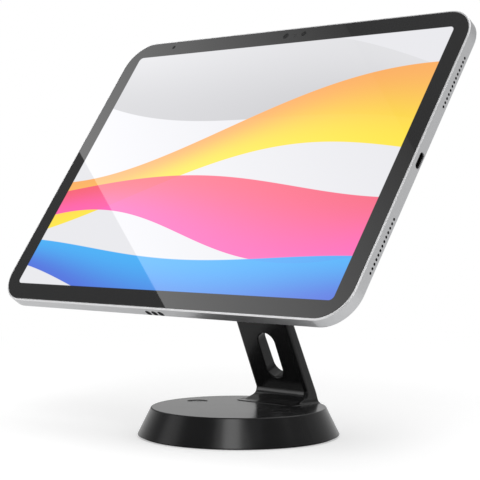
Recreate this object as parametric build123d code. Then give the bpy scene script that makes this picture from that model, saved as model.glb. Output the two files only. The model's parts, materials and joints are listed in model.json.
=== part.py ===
from build123d import *
from math import cos, radians, sin, sqrt, tan
import os

# Security stand for a tablet: a weighted round base, a leaning arm with a cable slot, a tilting
# head and a swivelling hub that locks onto a plate bonded to the tablet's back.
# Lengths are millimetres. Origin: centre of the base on the counter, +Z up, the screen faces -Y.

# Fits, the overrun of every cut, and the sides of nuts and sockets
running_fit = 0.05
joint_gap = 0.15
seat_gap = 0.3
cut_overrun = 2.0
hexagon_sides = 6

# Base
base_height = 14.93
base_bottom_r = 53.3
base_top_r = 45.92
base_rim_r = 0.8
shell_wall = 3.0
shell_top = 3.53
pad_thickness = 2.1
pad_proud = 0.9
pad_rim_wall = 1.07
pad_edge_r = 0.4
ballast_chamfer = 0.6
ballast_screw_inset = 7.92
ballast_screw_count = 4
ballast_screw_start = 45.0
ballast_screw_r = 1.75
ballast_screw_head_r = 3.4
ballast_screw_bite = 2.4
ballast_screw_socket_r = 1.3
ballast_screw_socket_depth = 1.1

# Fixing holes that bolt the base to a counter, each under a push-in cap
fixing_spacing = 62.0
fixing_hole_r = 2.75
fixing_sink_r = 5.0
cap_r = 5.5
cap_top = 1.2
cap_skirt = 0.9
cap_skirt_depth = 2.2
cap_recess = 0.3
cap_edge_r = 0.35

# Arm: a tapered bar that leans over the base, with a lofted foot let into the base top
arm_width = 37.74
arm_rear_inset = 2.0
arm_root_thickness = 8.87
arm_lean = 23.45
arm_rear_lean = 25.87
arm_top_thickness = 6.0
arm_edge_r = 2.0
foot_inlay = 1.2
foot_toe_angle = 1.0
foot_mid_angle = 22.0
foot_toe_r = 34.0
foot_fillet_r = 3.6
foot_flare_r = 2.4
foot_corner_r = 5.0
foot_trim_height = 7.2
foot_trim_inset = 1.9
toe_angle_shares = (0.0, 0.25, 0.6, 1.0)
fillet_angle_shares = (0.2, 0.42, 0.7, 1.0)
slot_width = 11.7
slot_length = 26.7
slot_centre_along = 27.3
slot_edge_r = 0.5
arm_screw_r = 2.5
arm_screw_head_r = 4.2
arm_screw_head_h = 2.6
arm_screw_head_edge = 0.6
arm_screw_socket_r = 1.7
arm_screw_socket_depth = 1.5
arm_screw_side_inset = 7.37
arm_screw_side_back = 1.15
arm_screw_side_rise = 5.4
arm_screw_front_ahead = 4.0
arm_screw_front_rise = 1.9

# Tilt hinge at the top of the arm, placed in the plane of the arm's front face
pivot_along = 101.55
pivot_inset = 1.8
knuckle_r = 7.0
ear_thickness = 6.17
shoulder_drop = 10.2
shoulder_r = 4.0
neck_fillet_r = 2.5
tilt_bolt_r = 3.0
tilt_bolt_head_r = 4.9
tilt_bolt_head_h = 3.0
tilt_socket_r = 1.7
tilt_socket_depth = 1.6
tilt_bolt_tip = 0.2
washer_r = 6.8
washer_thickness = 0.6
disc_spring_thickness = 0.4
disc_spring_rise = 0.25
nut_r = 4.6
nut_height = 2.3
tilt_cap_r = 5.4
tilt_cap_thickness = 0.9
tilt_cap_edge_r = 0.3

# Head: a disc behind the tablet with two ears for the tilt bolt
pivot_depth = 26.0
pivot_drop = 23.0
head_r = 30.0
head_thickness = 5.0
head_edge_r = 1.0
head_foot_corner_r = 5.0
head_foot_drop = 25.0
ear_r = 7.2
ear_root_low = 28.0
ear_root_high = 14.5
ear_edge_r = 0.8

# Swivel hub, turning in the head
hub_flange_r = 28.0
hub_flange_thickness = 2.0
hub_sleeve_r = 13.0
hub_bore_r = 8.8
bearing_thickness = 0.5
bearing_r = 26.0
hub_spring_thickness = 0.5
hub_spring_r = 16.2
ring_nut_r = 16.5
ring_nut_thickness = 2.5
ring_nut_notch = 3.2
ring_nut_notch_depth = 1.6
ring_nut_notches = 6

# Lock in the middle of the hub
lock_barrel_length = 6.2
lock_flange_r = 12.0
lock_flange_thickness = 2.2
lock_flange_chamfer = 0.8
lock_plug_r = 5.5
lock_plug_proud = 0.25
keyway_width = 1.3
keyway_height = 7.0
keyway_depth = 4.6
cam_length = 12.6
cam_width = 5.6
cam_thickness = 1.4
cam_spindle_r = 2.4
cam_floor_gap = 1.2
cam_screw_r = 1.2
cam_screw_head_r = 2.2
cam_screw_head_h = 0.8
cam_screw_bite = 4.0

# Plate bonded to the tablet's back
bond_thickness = 0.8
bond_margin = 2.0
plate_side = 92.0
plate_corner_r = 14.0
plate_thickness = 2.5
plate_edge_chamfer = 0.7
spigot_length = 3.7
spigot_wall = 2.0
lug_thickness = 1.0
lug_inner_r = 3.9
lug_angle = 80.0
dowel_r = 2.0
dowel_circle_r = 20.0
dowel_count = 2
dowel_bite = 1.7

# Tablet
tablet_width = 248.6
tablet_height = 179.5
tablet_depth = 7.0
tablet_corner_r = 18.0
tablet_front_edge = 0.4
tablet_back_edge_r = 1.1
screen_lean = 34.93
housing_wall = 2.2
housing_floor = 1.0
glass_inset = 0.9
glass_thickness = 0.8
display_side_border = 10.1
display_end_border = 10.15
display_depth = 2.2
display_corner_r = 3.0
battery_board_gap = 9.0
battery_end_margin = 15.75
battery_depth = 2.4
battery_corner_r = 3.0
battery_count = 2
battery_gap = 2.0
battery_speaker_gap = 9.1
board_width = 27.0
board_end_margin = 19.75
board_depth = 0.8
board_speaker_gap = 7.1
board_shield_depth = 1.3
board_shield_width = 19.0
board_shield_height = 44.0
board_shield_place = 30.0

# Ports and speakers in the short edges
port_depth_place = 4.2
port_up = 0.8
port_width = 9.0
port_height = 3.3
port_reach = 8.0
port_shell_wall = 0.3
port_tongue_width = 6.7
port_tongue_height = 0.7
port_tongue_inset = 1.2
speaker_holes = 13
speaker_pitch = 2.44
speaker_hole_r = 0.72
speaker_corner_distance = 28.27
speaker_box_width = 11.0
speaker_box_depth = 2.3
speaker_box_r = 1.5

# Contact pads in the lower edge
contact_count = 3
contact_pitch = 4.5
contact_width = 2.6
contact_length = 3.2
contact_depth_place = 4.3
contact_recess = 0.1
contact_thickness = 0.9

# Buttons
button_width = 3.0
button_proud = 0.35
button_inner = 1.3
power_button_length = 16.0
power_button_corner = 23.75
volume_button_length = 10.0
volume_up_corner = 27.3
volume_down_corner = 40.8
button_depth_place = 3.9

# Cameras
rear_camera_side_inset = 16.3
rear_camera_end_inset = 15.25
rear_camera_ring_r = 5.3
rear_camera_lens_r = 4.3
rear_camera_proud = 0.7
rear_camera_body_r = 5.0
rear_camera_edge_r = 0.3
front_camera_x = 6.5
front_camera_end_inset = 5.55
front_camera_r = 1.6
front_camera_depth = 2.4

# Sizes of the base and the arm's foot, worked out from the sizes above
rim_slope = (base_bottom_r - base_top_r) / base_height
ceiling_height = base_height - shell_top
pad_r = base_bottom_r - rim_slope * pad_thickness - pad_rim_wall
fixing_half = fixing_spacing / 2
ballast_screw_circle_r = base_top_r - ballast_screw_inset
arm_rear_foot = base_top_r - arm_rear_inset
arm_front_foot = arm_rear_foot - arm_root_thickness
foot_trim_top_r = base_top_r - foot_trim_inset
arm_screw_side = arm_width / 2 - arm_screw_side_inset
arm_screw_side_y = arm_front_foot + arm_screw_side_back
arm_screw_front_y = arm_front_foot - arm_screw_front_ahead

# Sizes and places in the tablet, worked out from its own outline
inner_width = tablet_width - 2 * housing_wall
display_width = tablet_width - 2 * display_side_border
display_height = tablet_height - 2 * display_end_border
battery_height = tablet_height - 2 * battery_end_margin
battery_right = inner_width / 2 - speaker_box_width - battery_speaker_gap
board_height = tablet_height - 2 * board_end_margin
board_left = inner_width / 2 - speaker_box_width - board_speaker_gap
battery_span = battery_right + board_left - board_width - battery_board_gap
battery_width = (battery_span - battery_gap * (battery_count - 1)) / battery_count
speaker_reach = tablet_height / 2 - speaker_corner_distance
power_button_up = tablet_height / 2 - power_button_corner
volume_up_place = volume_up_corner - tablet_width / 2
volume_down_place = volume_down_corner - tablet_width / 2
rear_camera_x = rear_camera_side_inset - tablet_width / 2
rear_camera_up = tablet_height / 2 - rear_camera_end_inset
front_camera_up = tablet_height / 2 - front_camera_end_inset

# Depths behind the glass, all negative
plate_front = -tablet_depth - bond_thickness
plate_back = plate_front - plate_thickness
flange_back = plate_back - hub_flange_thickness
bearing_front = flange_back - running_fit
head_front = bearing_front - bearing_thickness
head_back = head_front - head_thickness
spring_front = head_back - running_fit
ring_nut_front = spring_front - hub_spring_thickness
sleeve_back = ring_nut_front - ring_nut_thickness
lock_front = sleeve_back + lock_barrel_length
cam_front = plate_back - cam_floor_gap
cam_back = cam_front - cam_thickness
spigot_back = plate_back - spigot_length

# The pivot in the side view, and the ears beside the knuckle
lean = radians(arm_lean)
pivot_y = arm_front_foot - pivot_along * sin(lean) + pivot_inset * cos(lean)
pivot_z = base_height + pivot_along * cos(lean) + pivot_inset * sin(lean)
ear_outer = arm_width / 2
ear_inner = ear_outer - ear_thickness
knuckle_width = 2 * (ear_inner - washer_thickness - 2 * running_fit)
cap_face = ear_outer - tilt_cap_thickness
bolt_head_seat = cap_face - seat_gap - tilt_bolt_head_h

# The screen's own frame: local X across, local Y up the screen, local Z out of the glass
tilt = radians(screen_lean)
screen_out = Vector(0, -cos(tilt), sin(tilt))
screen_up = Vector(0, sin(tilt), cos(tilt))
screen_centre = Vector(0, pivot_y, pivot_z) + screen_out * pivot_depth + screen_up * pivot_drop
screen_frame = Plane(origin=screen_centre, x_dir=(1, 0, 0), z_dir=screen_out)
arm_frame = Plane(
    origin=(0, arm_front_foot, base_height),
    x_dir=(1, 0, 0),
    z_dir=(0, -cos(lean), -sin(lean)),
)


def raised(sketch, low, high):
    """A sketch raised from one height to another along its own Z."""
    return extrude(Plane.XY.offset(low) * sketch, amount=high - low)


def disc(radius, low, high, x=0.0, y=0.0):
    """A disc between two heights."""
    return raised(Pos(x, y) * Circle(radius), low, high)


def ring(outer_r, inner_r, low, high, x=0.0, y=0.0):
    """A flat ring between two heights."""
    return raised(Pos(x, y) * (Circle(outer_r) - Circle(inner_r)), low, high)


def crosswise(sketch, low, high):
    """A sketch in the up and out plane of the screen frame, raised along X between two places."""
    side = Plane(origin=(low, 0, 0), x_dir=(0, 1, 0), z_dir=(1, 0, 0))
    return extrude(side * sketch, amount=high - low)


def shaft(radius, low, high, up=0.0, out=0.0):
    """A round bar along X between two places."""
    return crosswise(Pos(up, out) * Circle(radius), low, high)


def sleeve(outer_r, inner_r, low, high, up=0.0, out=0.0):
    """A round tube along X between two places."""
    return crosswise(Pos(up, out) * (Circle(outer_r) - Circle(inner_r)), low, high)


def slab(width, height, low, high, corner_r, x=0.0, y=0.0):
    """A plate with rounded corners between two heights."""
    return raised(Pos(x, y) * RectangleRounded(width, height, corner_r), low, high)


def edges_at(solid, height):
    """The edges that lie flat at one height."""
    return solid.edges().filter_by_position(Axis.Z, height, height)


def cone_radius(height):
    """Radius of the base's sloping side at a height."""
    return base_bottom_r - rim_slope * height


def on_screen(solid):
    """A solid drawn in the screen frame, moved to its place."""
    return screen_frame.location * solid


# Base

def fixing_places():
    """The two fixing holes, left and right of the centre."""
    return [(-fixing_half, 0.0), (fixing_half, 0.0)]


def ballast_screw_places():
    """The screws that hold the ballast, on a circle."""
    places = []
    for number in range(ballast_screw_count):
        turn = radians(ballast_screw_start + 360 * number / ballast_screw_count)
        places.append((ballast_screw_circle_r * cos(turn), ballast_screw_circle_r * sin(turn)))
    return places


def arm_screw_places():
    """Place and rise above the base top of each screw that holds the arm."""
    return [
        (-arm_screw_side, arm_screw_side_y, arm_screw_side_rise),
        (arm_screw_side, arm_screw_side_y, arm_screw_side_rise),
        (0.0, arm_screw_front_y, arm_screw_front_rise),
    ]


def foot_outline(gap=0.0):
    """Plan outline of the arm's foot where it meets the base top."""
    rear = arm_rear_foot + foot_flare_r
    front = foot_section(0.0, toe_end_y()).bounding_box().min.Y
    width = arm_width + 2 * (foot_flare_r + gap)
    length = rear - front + 2 * gap
    return Pos(0, (rear + front) / 2) * RectangleRounded(width, length, foot_corner_r + gap)


def base_shell():
    """Cast cover: a shallow cone, open below, with the seat for the arm's foot in its top."""
    outside = make_face(
        Polyline(
            (0, pad_proud),
            (cone_radius(pad_proud), pad_proud),
            (base_top_r, base_height),
            (0, base_height),
            close=True,
        )
    )
    shell = revolve(Plane.XZ * outside, Axis.Z)
    shell = fillet(edges_at(shell, base_height), base_rim_r)
    wall = shell_wall * sqrt(1 + rim_slope**2)
    inside = make_face(
        Polyline(
            (0, pad_proud - cut_overrun),
            (cone_radius(pad_proud - cut_overrun) - wall, pad_proud - cut_overrun),
            (cone_radius(ceiling_height) - wall, ceiling_height),
            (0, ceiling_height),
            close=True,
        )
    )
    shell -= revolve(Plane.XZ * inside, Axis.Z)
    shell -= disc(pad_r + seat_gap, pad_proud - cut_overrun, pad_thickness)
    shell -= raised(foot_outline(joint_gap), base_height - foot_inlay, base_height + cut_overrun)
    for x, y in fixing_places():
        shell -= disc(cap_r + running_fit, ceiling_height - cut_overrun, base_height + cut_overrun, x, y)
    for x, y, rise in arm_screw_places():
        shell -= disc(arm_screw_r + running_fit, ceiling_height - cut_overrun, base_height, x, y)
    for x, y in ballast_screw_places():
        shell -= disc(ballast_screw_r, ceiling_height - cut_overrun, ceiling_height + ballast_screw_bite, x, y)
    return shell


def ballast():
    """Steel weight that fills the cover, with room for the screw heads."""
    gap = shell_wall * sqrt(1 + rim_slope**2) + seat_gap
    outline = make_face(
        Polyline(
            (0, pad_thickness),
            (cone_radius(pad_thickness) - gap, pad_thickness),
            (cone_radius(ceiling_height) - gap, ceiling_height),
            (0, ceiling_height),
            close=True,
        )
    )
    weight = revolve(Plane.XZ * outline, Axis.Z)
    weight = chamfer(edges_at(weight, ceiling_height), ballast_chamfer)
    for x, y in fixing_places():
        weight -= disc(fixing_hole_r, pad_thickness - cut_overrun, ceiling_height, x, y)
        sink = fixing_sink_r - fixing_hole_r
        mouth = Pos(x, y, ceiling_height - sink) * Cone(
            fixing_hole_r, fixing_sink_r, sink, align=(Align.CENTER, Align.CENTER, Align.MIN)
        )
        weight -= mouth
        weight -= disc(cap_r + seat_gap, ceiling_height - cap_top - seat_gap, ceiling_height, x, y)
    for x, y, rise in arm_screw_places():
        pocket = ceiling_height - arm_screw_head_h - seat_gap
        weight -= disc(arm_screw_head_r + seat_gap, pocket, ceiling_height, x, y)
    for x, y in ballast_screw_places():
        sink = ballast_screw_head_r - ballast_screw_r
        weight -= disc(ballast_screw_r + joint_gap, pad_thickness - cut_overrun, ceiling_height, x, y)
        weight -= Pos(x, y, pad_thickness) * Cone(
            ballast_screw_head_r + joint_gap,
            ballast_screw_r + joint_gap,
            sink,
            align=(Align.CENTER, Align.CENTER, Align.MIN),
        )
    return weight


def ballast_screws():
    """Countersunk screws from below, through the ballast into the cover."""
    screws = []
    sink = ballast_screw_head_r - ballast_screw_r
    for x, y in ballast_screw_places():
        screw = Pos(x, y, pad_thickness) * Cone(
            ballast_screw_head_r, ballast_screw_r, sink, align=(Align.CENTER, Align.CENTER, Align.MIN)
        )
        screw += disc(ballast_screw_r, pad_thickness + sink, ceiling_height + ballast_screw_bite, x, y)
        socket = Pos(x, y) * RegularPolygon(ballast_screw_socket_r, hexagon_sides)
        screw -= raised(socket, pad_thickness, pad_thickness + ballast_screw_socket_depth)
        screws.append(screw)
    return Compound(children=screws)


def foot_pad():
    """Rubber pad under the whole base."""
    pad = disc(pad_r, 0, pad_thickness)
    pad = fillet(edges_at(pad, 0), pad_edge_r)
    for x, y in fixing_places():
        pad -= disc(fixing_hole_r, -cut_overrun, pad_thickness, x, y)
    return pad


def fixing_caps():
    """Two push-in caps with a skirt, set a little below the base top."""
    caps = []
    top = base_height - cap_recess
    for x, y in fixing_places():
        cap = disc(cap_r, top - cap_top, top, x, y)
        cap = fillet(edges_at(cap, top), cap_edge_r)
        cap += ring(cap_r, cap_r - cap_skirt, top - cap_top - cap_skirt_depth, top - cap_top, x, y)
        caps.append(cap)
    return Compound(children=caps)


# Arm

def toe_end_y():
    """Front tip of the foot's toe, two tangent arcs ahead of the arm's front face."""
    top_height = fillet_top_height()
    face_y = arm_front_foot - top_height * tan(lean)
    high = radians(90 + arm_lean)
    middle = radians(foot_mid_angle)
    low = radians(foot_toe_angle)
    face_y -= foot_fillet_r * (sin(high) - sin(middle))
    return face_y - foot_toe_r * (sin(middle) - sin(low))


def toe_top_height():
    """Height where the toe's long arc ends."""
    return foot_toe_r * (cos(radians(foot_toe_angle)) - cos(radians(foot_mid_angle)))


def fillet_top_height():
    """Height where the short arc meets the arm's front face."""
    return toe_top_height() + foot_fillet_r * (cos(radians(foot_mid_angle)) + sin(lean))


def foot_profile():
    """Height above the base top and front edge of each section of the foot."""
    low = radians(foot_toe_angle)
    middle = radians(foot_mid_angle)
    high = radians(90 + arm_lean)
    start = toe_end_y()
    knee = start + foot_toe_r * (sin(middle) - sin(low))
    points = []
    for share in toe_angle_shares:
        angle = low + (middle - low) * share
        points.append((foot_toe_r * (cos(low) - cos(angle)), start + foot_toe_r * (sin(angle) - sin(low))))
    for share in fillet_angle_shares:
        angle = middle + (high - middle) * share
        height = toe_top_height() + foot_fillet_r * (cos(middle) - cos(angle))
        points.append((height, knee + foot_fillet_r * (sin(angle) - sin(middle))))
    return points


def flare_at(height):
    """How far the foot spreads beside and behind the arm at a height."""
    left = max(0.0, 1 - height / foot_flare_r)
    return foot_flare_r * (1 - sqrt(1 - left**2))


def foot_section(height, front):
    """One level section of the foot."""
    flare = flare_at(height)
    rear = arm_rear_foot - height * tan(radians(arm_rear_lean)) + flare
    corner = arm_edge_r + (foot_corner_r - arm_edge_r) * flare / foot_flare_r
    outline = RectangleRounded(arm_width + 2 * flare, rear - front, corner)
    return Pos(0, (front + rear) / 2, base_height + height) * outline


def arm_section(height, front, rear):
    """One level section of the bar above the foot."""
    outline = RectangleRounded(arm_width, rear - front, arm_edge_r)
    return Pos(0, (front + rear) / 2, base_height + height) * outline


def arm_bar():
    """The bar from the foot to beyond the shoulders, before they are cut."""
    foot_top = fillet_top_height()
    level_thickness = arm_top_thickness / cos(lean)
    root = arm_rear_foot - arm_front_foot
    taper = tan(radians(arm_rear_lean)) - tan(lean)
    taper_top = (root - level_thickness) / taper
    sections = []
    for height in (foot_top, taper_top):
        front = arm_front_foot - height * tan(lean)
        sections.append(arm_section(height, front, front + root - taper * height))
    lower = loft(sections, ruled=True)
    top = pivot_along * cos(lean)
    sections = [sections[1]]
    front = arm_front_foot - top * tan(lean)
    sections.append(arm_section(top, front, front + level_thickness))
    return lower + loft(sections, ruled=True)


def bar_outline():
    """Front view of the bar in its own frame: full width, then shoulders and the neck."""
    shoulder = pivot_along - shoulder_drop
    below = -base_height
    blade = Pos(0, (shoulder + below) / 2) * Rectangle(arm_width, shoulder - below)
    blade = fillet(blade.vertices().group_by(Axis.Y)[-1], shoulder_r)
    neck = Pos(0, (pivot_along + shoulder) / 2) * Rectangle(knuckle_width, pivot_along - shoulder)
    outline = blade + neck
    inner = [v for v in outline.vertices() if abs(v.Y - shoulder) < neck_fillet_r and abs(v.X) < arm_width / 2]
    inner = [v for v in inner if abs(abs(v.X) - knuckle_width / 2) < running_fit]
    return fillet(inner, neck_fillet_r)


def arm():
    """Lofted foot, tapered bar with the cable slot, and the knuckle for the tilt bolt."""
    sections = [foot_section(height, front) for height, front in foot_profile()]
    foot = loft(sections)
    foot += raised(foot_outline(), base_height - foot_inlay, base_height)
    skirt = make_face(
        Polyline(
            (0, base_height - foot_inlay),
            (cone_radius(base_height - foot_inlay), base_height - foot_inlay),
            (base_top_r, base_height),
            (foot_trim_top_r, base_height + foot_trim_height),
            (foot_trim_top_r, base_height + fillet_top_height()),
            (0, base_height + fillet_top_height()),
            close=True,
        )
    )
    foot &= revolve(Plane.XZ * skirt, Axis.Z)
    bar = arm_bar() & extrude(arm_frame * bar_outline(), amount=arm_width, both=True)
    slot = arm_frame * Pos(0, slot_centre_along) * Rot(0, 0, 90) * SlotOverall(slot_length, slot_width)
    window = extrude(slot, amount=arm_width, both=True)
    holed = bar - window
    rims = [
        edge
        for edge in new_edges(bar, window, combined=holed)
        if edge.geom_type != GeomType.LINE or abs(edge.tangent_at(0).dot(arm_frame.z_dir)) < sin(lean)
    ]
    bar = fillet(rims, slot_edge_r)
    knuckle = Plane.YZ * Pos(pivot_y, pivot_z) * Circle(knuckle_r)
    bar += extrude(knuckle, amount=knuckle_width / 2, both=True)
    bore = Plane.YZ * Pos(pivot_y, pivot_z) * Circle(tilt_bolt_r + running_fit)
    body = foot + bar
    body -= extrude(bore, amount=arm_width, both=True)
    for x, y, rise in arm_screw_places():
        body -= disc(arm_screw_r, base_height - foot_inlay - cut_overrun, base_height + rise, x, y)
    return body


def arm_screws():
    """Button-head screws from inside the base up into the arm's foot."""
    screws = []
    for x, y, rise in arm_screw_places():
        head_low = ceiling_height - arm_screw_head_h
        head = disc(arm_screw_head_r, head_low, ceiling_height, x, y)
        head = fillet(edges_at(head, head_low), arm_screw_head_edge)
        socket = Pos(x, y) * RegularPolygon(arm_screw_socket_r, hexagon_sides)
        head -= raised(socket, head_low, head_low + arm_screw_socket_depth)
        screws.append(head + disc(arm_screw_r, ceiling_height, base_height + rise, x, y))
    return Compound(children=screws)


# Head and tilt hinge, drawn in the screen frame

def head_outline():
    """Round at the top, drawn out to two rounded corners above the ears."""
    corner_x = ear_outer - head_foot_corner_r
    circles = Circle(head_r).edges()
    for x in (-corner_x, corner_x):
        circles += (Pos(x, -head_foot_drop) * Circle(head_foot_corner_r)).edges()
    return make_hull(circles)


def ear_profile():
    """Side view of an ear, from its root on the disc to the round end at the pivot."""
    root = Pos(-(ear_root_low + ear_root_high) / 2, head_back + head_thickness / 2)
    edges = (Pos(-pivot_drop, -pivot_depth) * Circle(ear_r)).edges()
    edges += (root * Rectangle(ear_root_low - ear_root_high, head_thickness / 2)).edges()
    return make_hull(edges)


def head():
    """Cast head: the disc that carries the hub, and two ears on the tilt bolt."""
    plate = raised(head_outline(), head_back, head_front)
    plate = fillet(edges_at(plate, head_back), head_edge_r)
    for side in (-1, 1):
        low = min(side * ear_inner, side * ear_outer)
        ear = crosswise(ear_profile(), low, low + ear_outer - ear_inner)
        outer = ear.faces().sort_by(Axis.X)[0 if side < 0 else -1]
        ear = fillet(outer.edges(), ear_edge_r)
        plate += ear
    plate -= disc(hub_sleeve_r + running_fit, head_back - cut_overrun, head_front + cut_overrun)
    sink = bolt_head_seat
    bolt = Pos(-pivot_drop, -pivot_depth)
    plate -= crosswise(bolt * Circle(tilt_bolt_r + running_fit), -arm_width, arm_width)
    for side in (-1, 1):
        low = min(side * sink, side * arm_width)
        plate -= crosswise(bolt * Circle(tilt_cap_r + running_fit), low, low + arm_width - sink)
    return plate


def tilt_bolt():
    """Bolt along X with its head in the left ear."""
    up, out = -pivot_drop, -pivot_depth
    tip = bolt_head_seat + disc_spring_thickness + disc_spring_rise + nut_height + tilt_bolt_tip
    head_left = -bolt_head_seat - tilt_bolt_head_h
    bolt = shaft(tilt_bolt_head_r, head_left, -bolt_head_seat, up, out)
    bolt += shaft(tilt_bolt_r, -bolt_head_seat, tip, up, out)
    socket = Pos(up, out) * RegularPolygon(tilt_socket_r, hexagon_sides)
    return bolt - crosswise(socket, head_left, head_left + tilt_socket_depth)


def tilt_washers():
    """Friction washers between the knuckle and the ears."""
    washers = []
    for side in (-1, 1):
        middle = side * (ear_inner - running_fit - washer_thickness / 2)
        low = middle - washer_thickness / 2
        inner = tilt_bolt_r + running_fit
        washers.append(sleeve(washer_r, inner, low, low + washer_thickness, -pivot_drop, -pivot_depth))
    return Compound(children=washers)


def disc_spring():
    """Coned spring washer under the nut, which keeps the hinge firm."""
    inner = tilt_bolt_r + running_fit
    low = bolt_head_seat
    section = make_face(
        Polyline(
            (low, tilt_bolt_head_r),
            (low + disc_spring_thickness, tilt_bolt_head_r),
            (low + disc_spring_thickness + disc_spring_rise, inner),
            (low + disc_spring_rise, inner),
            close=True,
        )
    )
    turned = revolve(section, Axis.X)
    return Pos(0, -pivot_drop, -pivot_depth) * turned


def tilt_nut():
    """Hexagon nut in the right ear."""
    low = bolt_head_seat + disc_spring_thickness + disc_spring_rise
    outline = RegularPolygon(nut_r, hexagon_sides) - Circle(tilt_bolt_r)
    return crosswise(Pos(-pivot_drop, -pivot_depth) * outline, low, low + nut_height)


def tilt_caps():
    """Flush caps over the bolt's head and nut."""
    caps = []
    for side in (-1, 1):
        low = min(side * cap_face, side * ear_outer)
        cap = shaft(tilt_cap_r, low, low + tilt_cap_thickness, -pivot_drop, -pivot_depth)
        outer = cap.faces().sort_by(Axis.X)[0 if side < 0 else -1]
        caps.append(fillet(outer.edges(), tilt_cap_edge_r))
    return Compound(children=caps)


# Swivel hub and lock, drawn in the screen frame

def dowel_places():
    """Dowels that turn the hub with the plate."""
    places = []
    for number in range(dowel_count):
        turn = radians(360 * number / dowel_count)
        places.append((dowel_circle_r * cos(turn), dowel_circle_r * sin(turn)))
    return places


def swivel_hub():
    """Flanged sleeve that turns in the head."""
    hub = disc(hub_flange_r, flange_back, plate_back)
    hub += disc(hub_sleeve_r, sleeve_back, flange_back)
    hub -= disc(hub_bore_r, sleeve_back - cut_overrun, plate_back + cut_overrun)
    for x, y in dowel_places():
        hub -= disc(dowel_r + running_fit, plate_back - dowel_bite, plate_back, x, y)
    return hub


def swivel_bearing():
    """Thin plastic ring between the hub's flange and the head."""
    return ring(bearing_r, hub_sleeve_r + running_fit, head_front, bearing_front)


def swivel_spring():
    """Flat spring washer behind the head."""
    return ring(hub_spring_r, hub_sleeve_r, ring_nut_front, spring_front)


def ring_nut():
    """Slotted ring nut on the end of the sleeve."""
    nut = ring(ring_nut_r, hub_sleeve_r, sleeve_back, ring_nut_front)
    for number in range(ring_nut_notches):
        turn = Rot(0, 0, 360 * number / ring_nut_notches)
        notch = turn * Pos(ring_nut_r, 0) * Rectangle(2 * ring_nut_notch_depth, ring_nut_notch)
        nut -= raised(notch, sleeve_back - cut_overrun, ring_nut_front + cut_overrun)
    return nut


def lock_housing():
    """Flanged barrel of the lock, pressed into the hub's sleeve."""
    barrel = disc(hub_bore_r - running_fit, sleeve_back, lock_front)
    flange = disc(lock_flange_r, sleeve_back - lock_flange_thickness, sleeve_back)
    flange = chamfer(edges_at(flange, sleeve_back - lock_flange_thickness), lock_flange_chamfer)
    bore = disc(lock_plug_r + running_fit, head_back - ring_nut_r, lock_front + cut_overrun)
    return barrel + flange - bore


def lock_plug():
    """Turning plug with a keyway, and the spindle that carries the cam."""
    low = sleeve_back - lock_flange_thickness - lock_plug_proud
    plug = disc(lock_plug_r, low, lock_front)
    plug += disc(cam_spindle_r, lock_front, cam_back)
    keyway = Rectangle(keyway_width, keyway_height)
    plug -= raised(keyway, low - cut_overrun, low + keyway_depth)
    plug -= disc(cam_screw_r, cam_back - cam_screw_bite, cam_back + cut_overrun)
    return plug


def lock_cam():
    """Bar with rounded ends that turns behind the lugs of the plate's spigot."""
    bar = Rectangle(cam_length, cam_width) & Circle(cam_length / 2)
    return raised(bar, cam_back, cam_front) - disc(cam_screw_r, cam_back - cut_overrun, cam_front + cut_overrun)


def cam_screw():
    """Screw that holds the cam on the plug's spindle."""
    screw = disc(cam_screw_r, cam_back - cam_screw_bite, cam_front)
    return screw + disc(cam_screw_head_r, cam_front, cam_front + cam_screw_head_h)


# Plate on the tablet, drawn in the screen frame

def mounting_plate():
    """Plate with a hollow spigot whose two lugs the cam locks behind."""
    plate = slab(plate_side, plate_side, plate_back, plate_front, plate_corner_r)
    plate = chamfer(edges_at(plate, plate_back), plate_edge_chamfer)
    spigot_r = hub_bore_r - joint_gap
    inner_r = spigot_r - spigot_wall
    plate += ring(spigot_r, inner_r, spigot_back, plate_back)
    sector = Circle(inner_r + spigot_wall / 2) - Circle(lug_inner_r)
    spread = inner_r * tan(radians(lug_angle / 2))
    wedge = Polygon((0, 0), (-spread, inner_r), (spread, inner_r), align=None)
    wedge += Polygon((0, 0), (spread, -inner_r), (-spread, -inner_r), align=None)
    plate += raised(sector & wedge, spigot_back, spigot_back + lug_thickness)
    for x, y in dowel_places():
        plate -= disc(dowel_r, plate_back - cut_overrun, plate_back + dowel_bite, x, y)
    return plate


def plate_dowels():
    """Pins pressed into the plate that stand into the hub's flange."""
    pins = []
    for x, y in dowel_places():
        pins.append(disc(dowel_r, plate_back - dowel_bite, plate_back + dowel_bite, x, y))
    return Compound(children=pins)


def bond_pad():
    """Adhesive foam between the plate and the tablet's back."""
    side = plate_side - 2 * bond_margin
    return slab(side, side, plate_front, -tablet_depth, plate_corner_r - bond_margin)


# Tablet, drawn in the screen frame

def edge_plane(side):
    """Plane on the left or right edge of the tablet: local X up, local Y out of the glass."""
    return Plane(origin=(side * tablet_width / 2, 0, 0), x_dir=(0, 1, 0), z_dir=(1, 0, 0))


def long_edge_plane(side):
    """Plane on the upper or lower edge: local X across, local Y out of the glass."""
    return Plane(origin=(0, side * tablet_height / 2, 0), x_dir=(1, 0, 0), z_dir=(0, -1, 0))


def speaker_centres():
    """Middle of each row of speaker holes along a short edge."""
    middle = speaker_reach - speaker_pitch * (speaker_holes - 1) / 2
    return [middle, -middle]


def button_slot(gap=0.0):
    """Outline of the power button in its edge."""
    return SlotOverall(power_button_length + 2 * gap, button_width + 2 * gap)


def volume_slot(gap=0.0):
    """Outline of a volume button in its edge."""
    return SlotOverall(volume_button_length + 2 * gap, button_width + 2 * gap)


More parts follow.
